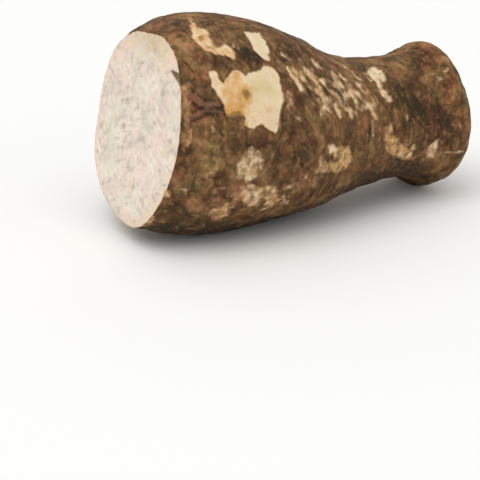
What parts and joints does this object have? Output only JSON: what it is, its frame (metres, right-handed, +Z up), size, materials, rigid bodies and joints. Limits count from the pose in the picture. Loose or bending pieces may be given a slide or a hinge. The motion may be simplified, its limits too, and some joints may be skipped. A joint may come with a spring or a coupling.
{
  "type": "arrowroot tuber",
  "caption": "Thick brown-skinned root tuber piece, cut flat across its wide end to show pale flesh, narrowing to a neck and a blunt flared knob.",
  "frame": {"origin": "at the bottom, on the surface that the tuber lies on, below the middle of its length and width", "axes": "+Z up; +X along the root, from the cut face at -X towards the blunt knob; the side that the picture shows is -Y"},
  "size_m": [0.1477, 0.0848, 0.0843],
  "materials": {
    "bark": "matte",
    "flesh": "matte"
  },
  "bodies": {
    "root": {"tuber": "bark"}
  },
  "joints": []
}
